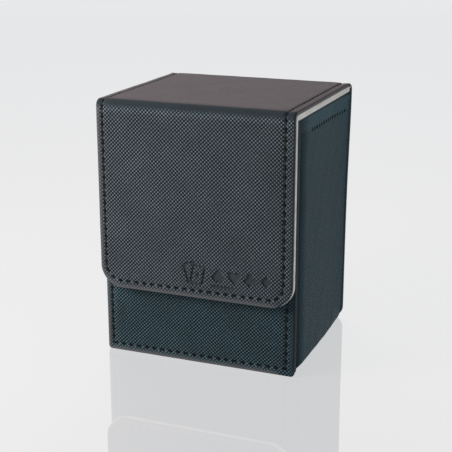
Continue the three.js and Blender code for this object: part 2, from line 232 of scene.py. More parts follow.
class Panel:
    """A rounded rectangle of leather or lining: a across it, b along it, n out of its face."""

    def __init__(self, half, low, high, radii, place, seam_inset=None, shading=None, right_edge_shaded_below=None):
        self.half, self.low, self.high = half, low, high
        self.radii = radii  # of the corners at the low end and at the high end
        self.place = place
        self.seam_inset = seam_inset
        self.shading = shading  # a function: painted shade, or painted highlight below zero
        self.right_edge_shaded_below = right_edge_shaded_below  # below this the right-hand edge gets little scuffing and painted highlight, and stays darker as painted shade
        if seam_inset:
            self.make_seam()

    def wear_and_painted_highlight(self, a, b):
        """How much of an edge's scuffing and painted highlight shows."""
        if self.right_edge_shaded_below is None:
            return 1 + 0 * a
        return 1 - 0.85 * ramp(a, self.half - 8, self.half - 4) * (b < self.right_edge_shaded_below)

    def radius_at(self, b):
        return np.where(b < (self.low + self.high) / 2, *self.radii)

    def half_at(self, b):
        """Half the panel's width at b, which the round corners narrow."""
        low_radius, high_radius = self.radii
        radius = self.radius_at(b)
        short = np.clip(np.maximum(low_radius - (b - self.low), high_radius - (self.high - b)), 0, radius)
        return self.half - radius + np.sqrt(np.maximum(radius**2 - short**2, 0))

    def edge_distance(self, a, b):
        """How far a point lies inside the outline."""
        radius = self.radius_at(b)
        middle, reach = (self.low + self.high) / 2, (self.high - self.low) / 2
        qa = np.abs(a) - (self.half - radius)
        qb = np.abs(b - middle) - (reach - radius)
        outside = np.hypot(np.maximum(qa, 0), np.maximum(qb, 0))
        return radius - outside - np.minimum(np.maximum(qa, qb), 0)

    def inward(self, a, b):
        """The direction straight in from the nearest edge."""
        step = 0.01
        across = self.edge_distance(a + step, b) - self.edge_distance(a - step, b)
        along = self.edge_distance(a, b + step) - self.edge_distance(a, b - step)
        length = np.maximum(np.hypot(across, along), 1e-9)
        return across / length, along / length

    def make_seam(self):
        """The seam as a closed line of close points, with the length along it at each."""
        inset = self.seam_inset
        half, low, high = self.half - inset, self.low + inset, self.high - inset
        low_r, high_r = (max(r - inset, 0.6) for r in self.radii)
        corners = [
            (half - low_r, low + low_r, low_r, -90),
            (half - high_r, high - high_r, high_r, 0),
            (-half + high_r, high - high_r, high_r, 90),
            (-half + low_r, low + low_r, low_r, 180),
        ]
        points = []
        for a, b, radius, start in corners:
            for angle in np.radians(np.linspace(start, start + 90, 25)):
                across = a + radius * math.cos(angle)
                points.append((across + SEAM_SHIFT, b + radius * math.sin(angle)))
        points = np.array([*points, points[0]])
        lengths = np.r_[0, np.cumsum(np.linalg.norm(np.diff(points, axis=0), axis=1))]
        self.seam_length = lengths[-1]
        self.along = np.linspace(0, self.seam_length, int(self.seam_length / 0.2), endpoint=False)
        self.seam = np.stack([np.interp(self.along, lengths, points[:, k]) for k in (0, 1)], 1)
        self.stitch_count = round(self.seam_length / STITCH_PITCH)
        self.tree = KDTree(len(self.seam))
        for i, (a, b) in enumerate(self.seam):
            self.tree.insert((a, b, 0), i)
        self.tree.balance()

    def start_stitches(self, a, b):
        """Counts the stitches on from the point of the seam nearest to (a, b)."""
        self.seam_start = self.along[self.tree.find((a, b, 0))[1]]

    def seam_at(self, along):
        """Points of the seam at lengths along it."""
        wrapped = np.mod(along, self.seam_length)
        line = np.r_[self.along, self.seam_length]
        closed = np.vstack([self.seam, self.seam[:1]])
        return np.stack([np.interp(wrapped, line, closed[:, k]) for k in (0, 1)], -1)

    def seam_ahead(self, along):
        """The seam's direction at lengths along it."""
        ahead = self.seam_at(along + 0.05) - self.seam_at(along - 0.05)
        return ahead / np.linalg.norm(ahead, axis=-1, keepdims=True)

    def stitch_turns(self, a, b):
        """How many stitches along the seam each point is, counted on from its start."""
        nearest = [self.tree.find((x, y, 0))[1] for x, y in zip(a, b)]
        along = self.along[nearest]
        along = along + ((np.stack([a, b], 1) - self.seam[nearest]) * self.seam_ahead(along)).sum(1)
        along = np.where(along < self.seam_start, along + self.seam_length, along)
        return along / self.seam_length * self.stitch_count


def leather_relief(panel, a, b):
    """Wrapped, stitched leather under the CAD face: its height, and its seam as add_sheet takes it."""
    from_edge = panel.edge_distance(a, b)
    from_seam = panel.edge_distance(a - SEAM_SHIFT, b) - panel.seam_inset
    height = -0.07 + 0.06 * ripple(a, b) - edge_drop(from_edge, EDGE_R)
    height -= 0.1 * bell(from_seam + 0.9, 0.9) * ramp(from_edge, 0, 1.5)
    height -= 0.1 * np.exp(-np.maximum(from_seam - 0.6, 0) / 1.2)
    close = np.abs(from_seam) < 3
    turns = np.zeros_like(height)
    turns[close] = panel.stitch_turns(a[close], b[close])
    lengthwise = panel.inward(a, b)[0] ** 2  # the seams along the strip are pulled tighter
    pull = 0.15 + 0.25 * lengthwise + (0.4 - 0.2 * lengthwise) * under_stitch(turns)
    height -= pull * bell(from_seam, CHANNEL)
    return np.minimum(height, 0), np.stack([turns, from_seam, lengthwise], 1)


def lining_relief(panel, a, b):
    """Cloth wrapped round a board: flat, with soft edges and no seam."""
    height = -0.05 + 0.04 * ripple(a, b) - edge_drop(panel.edge_distance(a, b), CLOTH_EDGE_R)
    return height, no_seam(len(height))


def no_seam(count):
    """The seam values of points that are far from one."""
    return np.tile([0.0, FAR, 0.0], (count, 1))


def panel_sheet(panel, columns, rows, relief, depth, ends=(), pressed=None, wall_place=None, steps=None,
                flange=FLANGE, wall_painted_shade=0.0):
    """A panel's face with its turned edges: points, quads, grain, nearness to an edge, seam and painted
    light, which is painted shade above zero and painted highlight below zero.

    Its sides turn down to depth, and so do the ends named in ends, "low" or "low" and "high". steps
    are the turned edge's depths with how far in each lies. relief, pressed and wall_place are
    functions: the face's height and seam, what is pressed into it, and where the turned edge goes.
    """
    b, share = np.meshgrid(rows, columns / panel.half, indexing="ij")
    a = share * panel.half_at(b)
    number = np.arange(a.size).reshape(a.shape)
    quads = [grid_quads(*a.shape)]
    a, b = a.ravel(), b.ravel()
    height, seam = relief(panel, a, b)
    dark = 0 * a
    if pressed:
        press = pressed(a, b)
        # The mark's pressed recesses get painted shade, as dark as they are deep.
        height, dark = height + press, -press
    # The panel's own painted shade and painted highlight.
    if panel.shading:
        dark = dark + panel.shading(a, b)
    wear_and_painted_highlight = panel.wear_and_painted_highlight(a, b)
    points = [panel.place(a, b, height)]
    grain = [np.stack([a, b], 1)]
    edge = [np.exp(-np.maximum(panel.edge_distance(a, b), 0) / 1.6) * wear_and_painted_highlight]
    seams, painted_lights = [seam], [dark]

    high, left, low, right = number[-1, ::-1], number[::-1, 0], number[0], number[:, -1]
    runs = [left, right]
    if "low" in ends:
        runs = [[*left, *low, *right]]
    if "high" in ends:
        runs = [[*high, *left, *low, *right, high[0]]]
    rings = steps or [(k, 0.0) for k in np.linspace(-height[number[0, 0]], depth, 5)[1:]]
    if not wall_place:
        rings.append((depth, flange))
    inward_a, inward_b = panel.inward(a, b)
    out_a = np.sign(a) * ramp(np.abs(a), panel.half - 2, panel.half)
    total = a.size
    for run in runs:
        ring = np.array([i for i, before in zip(run, [None, *run]) if i != before])
        closed = ring[0] == ring[-1]
        core = ring[:-1] if closed else ring
        now = np.arange(len(core) if closed else len(core) - 1)
        after = (now + 1) % len(core)
        above = core
        for k, inward in rings:
            below = total + np.arange(len(core))
            total += len(core)
            wa = a[core] + inward * inward_a[core]
            wb = b[core] if steps else b[core] + inward * inward_b[core]
            points.append(wall_place(wa, wb, k) if wall_place else panel.place(wa, wb, -k))
            grain.append(np.stack([wa + out_a[core] * k, wb - (1 - np.abs(out_a[core])) * k], 1))
            edge.append(wear_and_painted_highlight[core])
            seams.append(no_seam(len(core)))
            # The turned edges get an even painted shade.
            painted_lights.append(np.full(len(core), wall_painted_shade))
            quads.append(np.stack([below[now], below[after], above[after], above[now]], 1))
            above = below
    return tuple(np.concatenate(part) for part in (points, quads, grain, edge, seams, painted_lights))


def add_sheet(name, sheet, thickness, outside, material):
    """Thickens what panel_sheet returned, and makes it an object."""
    points, quads, *looks = sheet
    looks = (np.concatenate([look, look]) for look in looks)
    # The dark attribute carries painted shade, and painted highlight below zero.
    attributes = dict(zip(("grain", "edge", "seam", "dark"), looks))
    return add_mesh(name, *thicken(points, quads, thickness, outside), material, **attributes)


# --- where each panel lies ---

S_FOLD = FOLD_Z - FLAP_LOW[2]  # lengths along the strip at which each part of it starts
S_LID = S_FOLD + FOLD_R * math.pi / 2
S_REAR = S_LID + 2 * FOLD_Y
S_BACK = S_REAR + FOLD_R * math.pi / 2
S_END = S_BACK + FOLD_Z


def strip_swell(b):
    """How much wider the strip is near the rear fold, where the leather is full, than elsewhere."""
    past = b - S_BACK
    return 1 + 0.02 * bell(past, np.where(past < 0, 6.0, 32.0))


def strip_place(a, b, n):
    """The long strip: up the flap, over the front fold, along the lid, over the rear fold, down the back."""
    front_turn, rear_turn = (np.clip((b - start) / FOLD_R, 0, math.pi / 2) for start in (S_FOLD, S_REAR))
    reach = FOLD_R + n
    y = np.clip(b - S_LID, 0, S_REAR - S_LID) - FOLD_Y + reach * (np.sin(rear_turn) - np.cos(front_turn))
    z = FOLD_Z + np.minimum(b - S_FOLD, 0) - np.maximum(b - S_BACK, 0)
    z = z + reach * (np.sin(front_turn) + np.cos(rear_turn) - 1)
    return np.stack([a * strip_swell(b) + 0 * n, y + 0 * a, z + 0 * a], -1)


def front_place(a, b, n):
    """The front wall, seen from the front."""
    return np.stack([a + 0 * n, FRONT_LOW[1] - n + 0 * a, b + 0 * n], -1)


def strip_painted_light(a, b):
    """Painted light on the strip: a painted highlight on a ridge at the front fold, then painted shade over
    the bend, and painted shade along the right-hand edge and the lid's right-hand margin.
    """
    up = b - S_FOLD
    bend = ramp(up, 0.2, 1.2) * (1 - ramp(up, 4.0, 8.4))
    right_edge = ramp(a, HALF - 1.5, HALF) * np.where(up < 1, 0.38, 0.15)
    margin = 0.4 * ramp(a, HALF - 2.4, HALF - 1.6) * ramp(up, 4.4, 8.4)
    return 0.54 * bend - 0.4 * bell(up + 0.7, 0.9) + right_edge + margin


def front_painted_light(a, b):
    """Painted light on the front wall: painted highlights on the left seam's rim and on the foot, and painted
    shade along the right edge.
    """
    rim = bell(a + HALF - 3.9, 1.0) + 0.7 * bell(b - 1.9, 0.9)
    return 0.55 * ramp(a, HALF - 2.0, HALF - 0.5) - 0.25 * rim


strip = Panel(HALF, 0, S_END, (FLAP_CORNER, BACK_CORNER), strip_place, SEAM_INSET, strip_painted_light, S_FOLD + 1)
front = Panel(
    FRONT_HIGH[0], FRONT_LOW[2], RIM, (FRONT_CORNER, FRONT_CORNER), front_place,
    FRONT_SEAM_INSET, front_painted_light, RIM,
)


# --- the mark on the flap ---

MARK_A = (-4.0, 32.5)  # the part of the flap that holds the mark, across it and along it
MARK_B = (32.5 - FLAP_LOW[2], 45.5 - FLAP_LOW[2])
MARK_DEPTH = 0.5
MARK_LINE = 0.42  # half the width of a card's outline
CARD_X, CARD_Z = 1.9, 38.4
SUIT_X, SUIT_Z, SUIT_PITCH, SUIT_SCALE = 10.4, 39.0, 6.5, 1.22


def disc(x, y, cx, cy, radius):
    return np.hypot(x - cx, y - cy) - radius


def wedge(x, y, points):
    """Distance outside a convex outline given anticlockwise, negative inside it."""
    worst = np.full(np.shape(x), -1e9)
    for (x0, y0), (x1, y1) in zip(points, points[1:] + points[:1]):
        length = math.hypot(x1 - x0, y1 - y0)
        side = ((x - x0) * (y1 - y0) - (y - y0) * (x1 - x0)) / length
        worst = np.maximum(worst, side)
    return worst


def rounded(x, y, half_x, half_y, radius):
    qx, qy = np.abs(x) - half_x + radius, np.abs(y) - half_y + radius
    return np.hypot(np.maximum(qx, 0), np.maximum(qy, 0)) + np.minimum(np.maximum(qx, qy), 0) - radius


def heart(x, y):
    point = wedge(x, y, [(0, -2.1), (1.93, 0.2), (-1.93, 0.2)])
    return np.minimum.reduce([disc(x, y, -0.98, 0.75, 1.1), disc(x, y, 0.98, 0.75, 1.1), point])


def stem(x, y):
    return wedge(x, y, [(-0.85, -2.1), (0.85, -2.1), (0, 0.2)])


def spade(x, y):
    return np.minimum(heart(x, 0.35 - y), stem(x, y))


def club(x, y):
    leaves = [disc(x, y, cx, cy, 1.0) for cx, cy in ((0, 1.1), (-1.05, -0.45), (1.05, -0.45))]
    return np.minimum.reduce([*leaves, stem(x, y)])


def diamond(x, y):
    return wedge(x, y, [(0, -2.1), (1.6, 0), (0, 2.1), (-1.6, 0)])


def card(x, y, tilt, cx, cy):
    """The outline of one card, turned by tilt degrees: its edge line, and its inside."""
    c, s = math.cos(math.radians(tilt)), math.sin(math.radians(tilt))
    px, py = c * (x - cx) + s * (y - cy), -s * (x - cx) + c * (y - cy)
    shape = rounded(px, py, 2.4, 3.7, 0.7)
    return np.abs(shape) - MARK_LINE, shape


def mark(a, b):
    """A generic pressed motif: two cards, the four suits and a plain rule."""
    x, y = a, b + FLAP_LOW[2]
    front_line, front_card = card(x, y, -10, CARD_X, CARD_Z)
    back_line, _ = card(x, y, 16, CARD_X - 2.6, CARD_Z + 0.8)
    back_line = np.maximum(back_line, 0.4 - front_card)
    shapes = [front_line, back_line, diamond((x - CARD_X) * 1.6, (y - CARD_Z) * 1.6) / 1.6]
    for k, suit in enumerate((spade, heart, club, diamond)):
        across = (x - SUIT_X - SUIT_PITCH * k) / SUIT_SCALE
        shapes.append(suit(across, (y - SUIT_Z) / SUIT_SCALE) * SUIT_SCALE)
    shapes.append(rounded(x - 12.0, y - 34.6, 4.4, 0.55, 0.5))
    t = np.clip(0.5 - np.minimum.reduce(shapes) / 0.4, 0, 1)
    return -MARK_DEPTH * t * t * (3 - 2 * t)


# --- materials ---

class Graph:
    """Builds the nodes of a material or a world with few words."""

    def __init__(self, owner):
        owner.use_nodes = True
        self.owner = owner
        self.nodes, self.links = owner.node_tree.nodes, owner.node_tree.links

    def node(self, kind, inputs=(), **settings):
        made = self.nodes.new(kind)
        for key, value in settings.items():
            setattr(made, key, value)
        for key, value in dict(inputs).items():
            self.feed(made.inputs[key], value)
        return made

    def feed(self, socket, value):
        if isinstance(value, bpy.types.NodeSocket):
            self.links.new(value, socket)
        else:
            socket.default_value = value

    def math(self, operation, *values):
        return self.node("ShaderNodeMath", enumerate(values), operation=operation).outputs[0]

    def times(self, first, *others):
        for other in others:
            first = self.math("MULTIPLY", first, other)
        return first

    def plus(self, first, *others):
        for other in others:
            first = self.math("ADD", first, other)
        return first

    def scaled(self, vector, factor):
        return self.node("ShaderNodeVectorMath", {0: vector, "Scale": factor}, operation="SCALE").outputs[0]

    def split(self, vector):
        return self.node("ShaderNodeSeparateXYZ", {0: vector}).outputs

    def attribute(self, name, output="Vector"):
        return self.node("ShaderNodeAttribute", attribute_name=name).outputs[output]

    def place(self):
        return self.node("ShaderNodeTexCoord").outputs["Object"]

    def noise(self, where, scale, detail=3.0, rough=0.55, output="Fac"):
        inputs = {"Vector": where, "Scale": scale, "Detail": detail, "Roughness": rough}
        return self.node("ShaderNodeTexNoise", inputs).outputs[output]

    def spread(self, value, low, high, to_low=0.0, to_high=1.0, smooth=False):
        """Maps low..high to to_low..to_high, clamped."""
        inputs = {"Value": value, "From Min": low, "From Max": high, "To Min": to_low, "To Max": to_high}
        kind = "SMOOTHSTEP" if smooth else "LINEAR"
        return self.node("ShaderNodeMapRange", inputs, interpolation_type=kind).outputs["Result"]

    def mix(self, share, one, two):
        return self.node("ShaderNodeMix", {0: share, 6: one, 7: two}, data_type="RGBA").outputs[2]

    def bump(self, height, distance, strength=1.0, normal=None):
        inputs = {"Height": height, "Distance": distance, "Strength": strength}
        if normal:
            inputs["Normal"] = normal
        return self.node("ShaderNodeBump", inputs).outputs["Normal"]

    def finish(self, colour, roughness, normal=None, **constants):
        shader = self.nodes["Principled BSDF"]
        self.feed(shader.inputs["Base Color"], colour)
        self.feed(shader.inputs["Roughness"], roughness)
        if normal:
            self.feed(shader.inputs["Normal"], normal)
        for key, value in constants.items():
            shader.inputs[key.replace("_", " ")].default_value = value
        return self.owner


def material_graph(name):
    return Graph(bpy.data.materials.new(name))


def rgb(r, g, b):
    return (r, g, b, 1.0)


def leather(name, raised, sunk, worn_and_lit, shine, emboss=1.0, mottle=0.03):
    """Black leatherette with a lattice of small raised dots, scuffed a little at the edges, with painted
    light: painted highlights at the edges and between stitches, and painted shade in seam holes and creases.

    raised, sunk and worn_and_lit are the colours of the dots, of the ground between them and of a scuffed
    edge, a more neutral grey that stands partly for scuffing and partly for a painted highlight.
    """
    g = material_graph(name)
    grain, edge, dark = g.attribute("grain"), g.attribute("edge", "Fac"), g.attribute("dark", "Fac")
    turns, from_seam, lengthwise = g.split(g.attribute("seam"))
    pores = g.noise(grain, 5.5, 4.0, 0.6)
    blotch = g.noise(grain, 0.07, 3.0)
    clouds = g.noise(grain, 0.4, 4.0, 0.7)

    shift = g.scaled(g.noise(grain, 0.35, 2.0, 0.5, "Color"), 0.22)
    bent = g.split(g.node("ShaderNodeVectorMath", {0: grain, 1: shift}, operation="ADD").outputs[0])
    lattice = g.times(*(g.math("COSINE", g.times(bent[k], 2 * math.pi / GRAIN_PITCH)) for k in (0, 1)))
    grown = g.spread(g.noise(grain, 0.9, 2.0), 0.3, 0.75, 0.75, 1.2)
    dots = g.times(g.spread(lattice, -0.3, 0.8, smooth=True), grown)

    phase = g.math("COSINE", g.times(turns, 2 * math.pi))
    aside = g.math("ABSOLUTE", from_seam)
    # Dark seam holes and the creases beside lengthwise seams are painted shade; the raised leather between
    # stitches gets a painted highlight.
    hole = g.times(
        g.spread(phase, -0.15, 0.45, smooth=True),
        g.spread(aside, 0.3, 0.75, 1.0, 0.0, smooth=True),
        g.spread(lengthwise, 0.0, 1.0, 1.0, 0.5),
    )
    crease = g.times(g.spread(aside, 0.05, 0.65, 0.68, 0.0, smooth=True), lengthwise)
    bridge_painted_highlight = g.times(g.spread(phase, -0.9, -0.3, 1.0, 0.0), g.spread(aside, 0.2, 0.9, 1.0, 0.0))
    # groove_painted_shade: the painted shade of the holes, the creases and the dark attribute.
    groove_painted_shade = g.math("MAXIMUM", g.math("MAXIMUM", hole, crease), dark)
    hold = g.times(
        g.spread(edge, 0.3, 0.85, emboss, emboss * 0.3),
        g.spread(groove_painted_shade, 0.1, 0.5, 1.0, 0.15),
        g.spread(bridge_painted_highlight, 0.2, 1.0, 1.0, 0.4),
    )

    share = g.math("MULTIPLY_ADD", g.math("SUBTRACT", dots, 0.45), hold, 0.45)
    # Colour that stands in for light: a painted highlight at edges and between stitches, painted shade in
    # seam holes and creases, and the dark attribute's painted shade and highlight; blotches, pores and clouds
    # are the leather's own tone.
    light = g.times(
        g.spread(blotch, 0.3, 0.7, 0.86, 1.14),
        g.spread(pores, 0.3, 0.75, 0.85, 1.15),
        g.spread(edge, 0.3, 0.9, 1.0, 1.12),
        g.spread(bridge_painted_highlight, 0.0, 1.0, 1.0, 1.4),
        g.spread(groove_painted_shade, 0.05, 0.95, 1.0, 0.08),
        g.spread(dark, -1.0, 0.0, 2.0, 1.0),
        g.spread(clouds, 0.3, 0.7, 1.0 - mottle, 1.0 + mottle),
    )
    shade = g.scaled(g.mix(share, rgb(*sunk), rgb(*raised)), light)
    # Edges mix to the worn_and_lit colour: partly scuffing, partly a painted highlight.
    rubbed_and_lit = g.times(g.spread(edge, 0.25, 0.75, 0.0, 0.8), g.spread(groove_painted_shade, 0.05, 0.4, 1.0, 0.0))
    shade = g.mix(rubbed_and_lit, shade, rgb(*worn_and_lit))
    speck = g.node("ShaderNodeTexVoronoi", {"Vector": grain, "Scale": 0.07, "Randomness": 1.0}).outputs
    kept = g.spread(g.split(speck["Color"])[0], 0.78, 0.8)
    lint = g.times(g.spread(speck["Distance"], 0.012, 0.02, 0.8, 0.0), kept)
    colour = g.mix(lint, shade, rgb(0.4, 0.4, 0.39))

    rough = g.plus(
        g.spread(pores, 0.3, 0.7, 0.5, 0.6),
        g.times(dots, -0.08),
        g.spread(blotch, 0.3, 0.7, -0.03, 0.05),
        g.spread(groove_painted_shade, 0.0, 1.0, 0.0, 0.3),
        g.spread(clouds, 0.3, 0.7, -0.3 * mottle, 0.3 * mottle),
    )
    normal = g.bump(clouds, 0.0009 * mottle)
    normal = g.bump(pores, 0.00004, 0.55, normal)
    normal = g.bump(g.times(dots, hold), 0.0002, 1.0, normal)
    return g.finish(colour, rough, normal, Specular_IOR_Level=shine)


def microfibre(name, pale, dark):
    """Short-napped cloth with a mottled nap."""
    g = material_graph(name)
    where = g.place()
    nap = g.noise(where, 1400.0, 4.0, 0.7)
    clump = g.noise(where, 260.0, 3.0)
    patch = g.noise(where, 45.0, 2.0)
    share = g.plus(g.times(nap, 0.5), g.times(clump, 0.5))
    colour = g.mix(g.spread(share, 0.35, 0.65), rgb(*dark), rgb(*pale))
    colour = g.scaled(colour, g.spread(patch, 0.3, 0.7, 0.93, 1.05))
    rough = g.spread(clump, 0.3, 0.7, 0.88, 0.98)
    normal = g.bump(nap, 0.0002, 0.6, g.bump(clump, 0.0003, 0.4))
    return g.finish(colour, rough, normal, Sheen_Weight=0.25, Sheen_Roughness=0.5, Specular_IOR_Level=0.2)


def thread_material():
    """Twisted black polyester thread."""
    g = material_graph("seam_thread")
    strand = g.attribute("strand")
    along, around, _ = g.split(strand)
    twist = g.math("SINE", g.times(g.plus(g.times(along, 1.5), g.times(around, 2.0)), 2 * math.pi))
    fibres = g.noise(strand, 9.0, 3.0)
    share = g.spread(g.plus(twist, g.times(fibres, 0.8)), -0.8, 1.6)
    colour = g.mix(share, rgb(0.002, 0.003, 0.004), rgb(0.012, 0.014, 0.016))
    normal = g.bump(share, 0.0001, 0.8)
    return g.finish(colour, g.spread(fibres, 0.3, 0.7, 0.6, 0.75), normal, Specular_IOR_Level=0.2)


def greyboard_material():
    """Dense grey pasted board with paper fibres."""
    g = material_graph("greyboard")
    where = g.place()
    fibres = g.noise(where, 1800.0, 5.0, 0.7)
    flecks = g.noise(where, 500.0, 2.0)
    colour = g.mix(g.spread(fibres, 0.3, 0.7), rgb(0.2, 0.175, 0.14), rgb(0.34, 0.31, 0.26))
    colour = g.mix(g.spread(flecks, 0.62, 0.7, 0.0, 0.6), colour, rgb(0.1, 0.09, 0.08))
    return g.finish(colour, g.spread(flecks, 0.3, 0.7, 0.85, 0.95), g.bump(fibres, 0.00005, 0.5))


def magnet_material():
    """Nickel plate with fine scratches."""
    g = material_graph("magnet_nickel")
    where = g.place()
    scratch = g.noise(where, 900.0, 4.0, 0.6)
    cloud = g.noise(where, 120.0, 2.0)
    colour = g.mix(g.spread(cloud, 0.3, 0.7), rgb(0.55, 0.54, 0.52), rgb(0.66, 0.65, 0.63))
    rough = g.spread(scratch, 0.3, 0.7, 0.16, 0.34)
    return g.finish(colour, rough, g.bump(scratch, 0.00001, 0.4), Metallic=1.0)


# One leather in five slightly different tones, which are lit and shaded copies: the lid's is lighter and
# pinker as a painted highlight, and the front wall's, the sides' and the front fold's are tealer, and mostly
# darker, as painted shade.
STRIP_LEATHER = leather(
    "strip_leather", (0.114, 0.147, 0.166), (0.002, 0.009, 0.014), (0.080, 0.088, 0.095), shine=0.2,
)
LID_LEATHER_PAINTED_HIGHLIGHT = leather(
    "lid_leather", (0.180, 0.162, 0.174), (0.008, 0.008, 0.010), (0.076, 0.077, 0.082),
    shine=0.36, mottle=0.2,
)
FRONT_LEATHER_PAINTED_SHADE = leather(
    "front_leather_painted_shade", (0.070, 0.118, 0.138), (0.001, 0.009, 0.014), (0.092, 0.102, 0.108), shine=0.1,
)
SIDE_LEATHER_PAINTED_SHADE = leather(
    "side_leather_painted_shade", (0.070, 0.136, 0.167), (0.006, 0.024, 0.034), (0.042, 0.074, 0.088),
    emboss=0.9, shine=0.06, mottle=0.05,
)
FOLD_LEATHER_PAINTED_SHADE = leather(
    "fold_leather", (0.090, 0.128, 0.150), (0.002, 0.011, 0.016), (0.056, 0.066, 0.075),
    emboss=0.85, shine=0.16,
)
LINING = microfibre("lining_microfibre", (0.92, 0.91, 0.88), (0.58, 0.57, 0.54))
THREAD = thread_material()
GREYBOARD = greyboard_material()
MAGNET = magnet_material()


# --- leather strip ---

def strip_slice(name, columns, rows, material, facing, **turned):
    """One slice of the long strip: rows are the lengths along it."""
    strip.start_stitches(0, 0 if rows[0] > S_LID else S_END)
    sheet = panel_sheet(strip, columns, rows, leather_relief, WRAP, **turned)
    return add_sheet(name, sheet, SHEET, facing, material)


def back_slice():
    """The back, whose turned bottom edge is the strip's far end: made upside down, then placed."""
    def place(a, b, n):
        return strip_place(a, S_END - b, n)

    def relief(_, a, b):
        return leather_relief(strip, a, S_END - b)

    strip.start_stitches(0, 0)
    turned = Panel(HALF, 0, S_END, (BACK_CORNER, FLAP_CORNER), place)
    rows = S_END - stations(S_BACK, S_END, dense_low=False)[::-1]
    points, quads, grain, *looks = panel_sheet(turned, COLUMNS, rows, relief, WRAP, ("low",))
    grain[:, 1] = S_END - grain[:, 1]
    return add_sheet("back_leather", (points, quads, grain, *looks), SHEET, (0, 1, 0), STRIP_LEATHER)


def blended(piece, first, second, start, end, slot, *nodes):
    """Bakes a piece's place into its mesh, and hides the CAD nodes it stands for. start and end are not used.
    """
    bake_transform(piece)
    if nodes:
        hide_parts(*nodes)


COLUMNS = stations(-HALF, HALF)
FOLD_ROWS = FOLD_R * np.radians(FOLD_ANGLES)
FRONT_SPAN = ((0, -FACE, FOLD_Z), (0, -FOLD_Y, TOP))
REAR_SPAN = ((0, FACE, FOLD_Z), (0, FOLD_Y, TOP))

flap = strip_slice(
    "flap_leather", stations(-HALF, HALF, fine=MARK_A), stations(0, S_FOLD, dense_high=False, fine=MARK_B),
    STRIP_LEATHER, (0, -1, 0), ends=("low",), pressed=mark,
)
finish_piece(flap, "flap", "leatherette", "flap_cover")
lid_rows = stations(S_LID, S_REAR, dense_low=False, dense_high=False)
lid = strip_slice("lid_top_leather", COLUMNS, lid_rows, LID_LEATHER_PAINTED_HIGHLIGHT, (0, 0, 1))
finish_piece(lid, "lid", "leatherette", "lid_cover")
finish_piece(back_slice(), "box", "leatherette", "back_cover")
fold = strip_slice("front_fold_leather", COLUMNS, S_FOLD + FOLD_ROWS, FOLD_LEATHER_PAINTED_SHADE, (0, -1, 1))
blended(fold, "flap", "lid", *FRONT_SPAN, "leatherette", "front_hinge_leather")
fold = strip_slice("rear_fold_leather", COLUMNS, S_REAR + FOLD_ROWS, STRIP_LEATHER, (0, 1, 1))
blended(fold, "box", "lid", *REAR_SPAN, "leatherette", "rear_hinge_leather")


# --- front wall ---

def front_wall():
    """The leather round the front wall, whose turned edge steps in a little behind the face and gets painted
    shade.
    """
    front.start_stitches(0, front.high)
    depth = FRONT_HIGH[1] - FRONT_LOW[1]
    steps = [(0.9, 0.0), (1.4, 0.06), (1.6, 0.3), (1.85, 0.5), (2.6, 0.45), (depth, 0.45)]
    sheet = panel_sheet(
        front, stations(-front.half, front.half), stations(front.low, front.high), leather_relief, depth,
        ("low", "high"), steps=steps, flange=FRONT_FLANGE, wall_painted_shade=0.4,
    )
    wall = add_sheet("front_leather_cover", sheet, SHEET, (0, -1, 0), FRONT_LEATHER_PAINTED_SHADE)
    finish_piece(wall, "box", "leatherette", "front_cover")


front_wall()


# --- side walls ---

SIDE_DIP = 1.5
SIDE_DIP_LENGTH = 11.0
SIDE_FULL = 0.5  # how far the slack leather stands out from its board, at most
RIM_R = 1.3
FOOT_R = 0.8
SIDE_ROW = (SIDE_SEAM_LOW[2] + SIDE_SEAM_HIGH[2]) / 2  # the height of the stitched row

# Lengths up a side's leather, from under its foot to its inner end.
T_FOOT = FOOT_R * math.pi / 2
T_ROW = T_FOOT + SIDE_ROW - FOOT_R
T_RIM = T_FOOT + SIDE_HIGH[2] - FOOT_R - RIM_R
T_OVER = T_RIM + RIM_R * math.pi / 2
T_END = T_OVER + SIDE_HIGH[0] - RIM_R - SIDE_LOW[0]


def side_dip(y, z):
    """How far the side's leather rolls in towards the front wall, least at its foot, less its fullness."""
    t = ramp(y, SIDE_LOW[1], SIDE_LOW[1] + SIDE_DIP_LENGTH)
    dip = SIDE_DIP * (1 + np.cos(math.pi * t)) / 2 * np.clip(0.45 + z / 14, 0.45, 1)
    back = ramp(y, 14, SIDE_HIGH[1])
    rise = ramp(z, 0, SIDE_HIGH[2])
    foot = (1 - ramp(z, 0, 9)) ** 2
    full = SIDE_FULL * (1 - 0.3 * np.sin(math.pi * rise))
    full += 0.55 * back**2 * (1 - foot) - 0.9 * back * foot + 0.75 * back * rise**3
    return dip - full


def side_place(y, t, n):
    """The right side's leather: t runs up from the foot, over the rim and in along it."""
    face, rim = SIDE_HIGH[0], SIDE_HIGH[2]
    foot_turn = np.clip(t / FOOT_R, 0, math.pi / 2)
    rim_turn = np.clip((t - T_RIM) / RIM_R, 0, math.pi / 2)
    angle = foot_turn - math.pi / 2 + rim_turn  # the direction the leather faces, from +X towards +Z
    radius = np.where(t < T_FOOT, FOOT_R, RIM_R)
    x = face - radius + radius * np.cos(angle) - np.clip(t - T_OVER, 0, None)
    z = np.where(t < T_FOOT, FOOT_R + FOOT_R * np.sin(angle), t - T_FOOT + FOOT_R)
    z = np.where(t > T_RIM, rim - RIM_R + RIM_R * np.sin(angle), z)
    fade = ramp(x, SIDE_LOW[0], face - RIM_R)
    return np.stack([x + n * np.cos(angle) - side_dip(y, z) * fade, y + 0 * x, z + n * np.sin(angle)], -1)


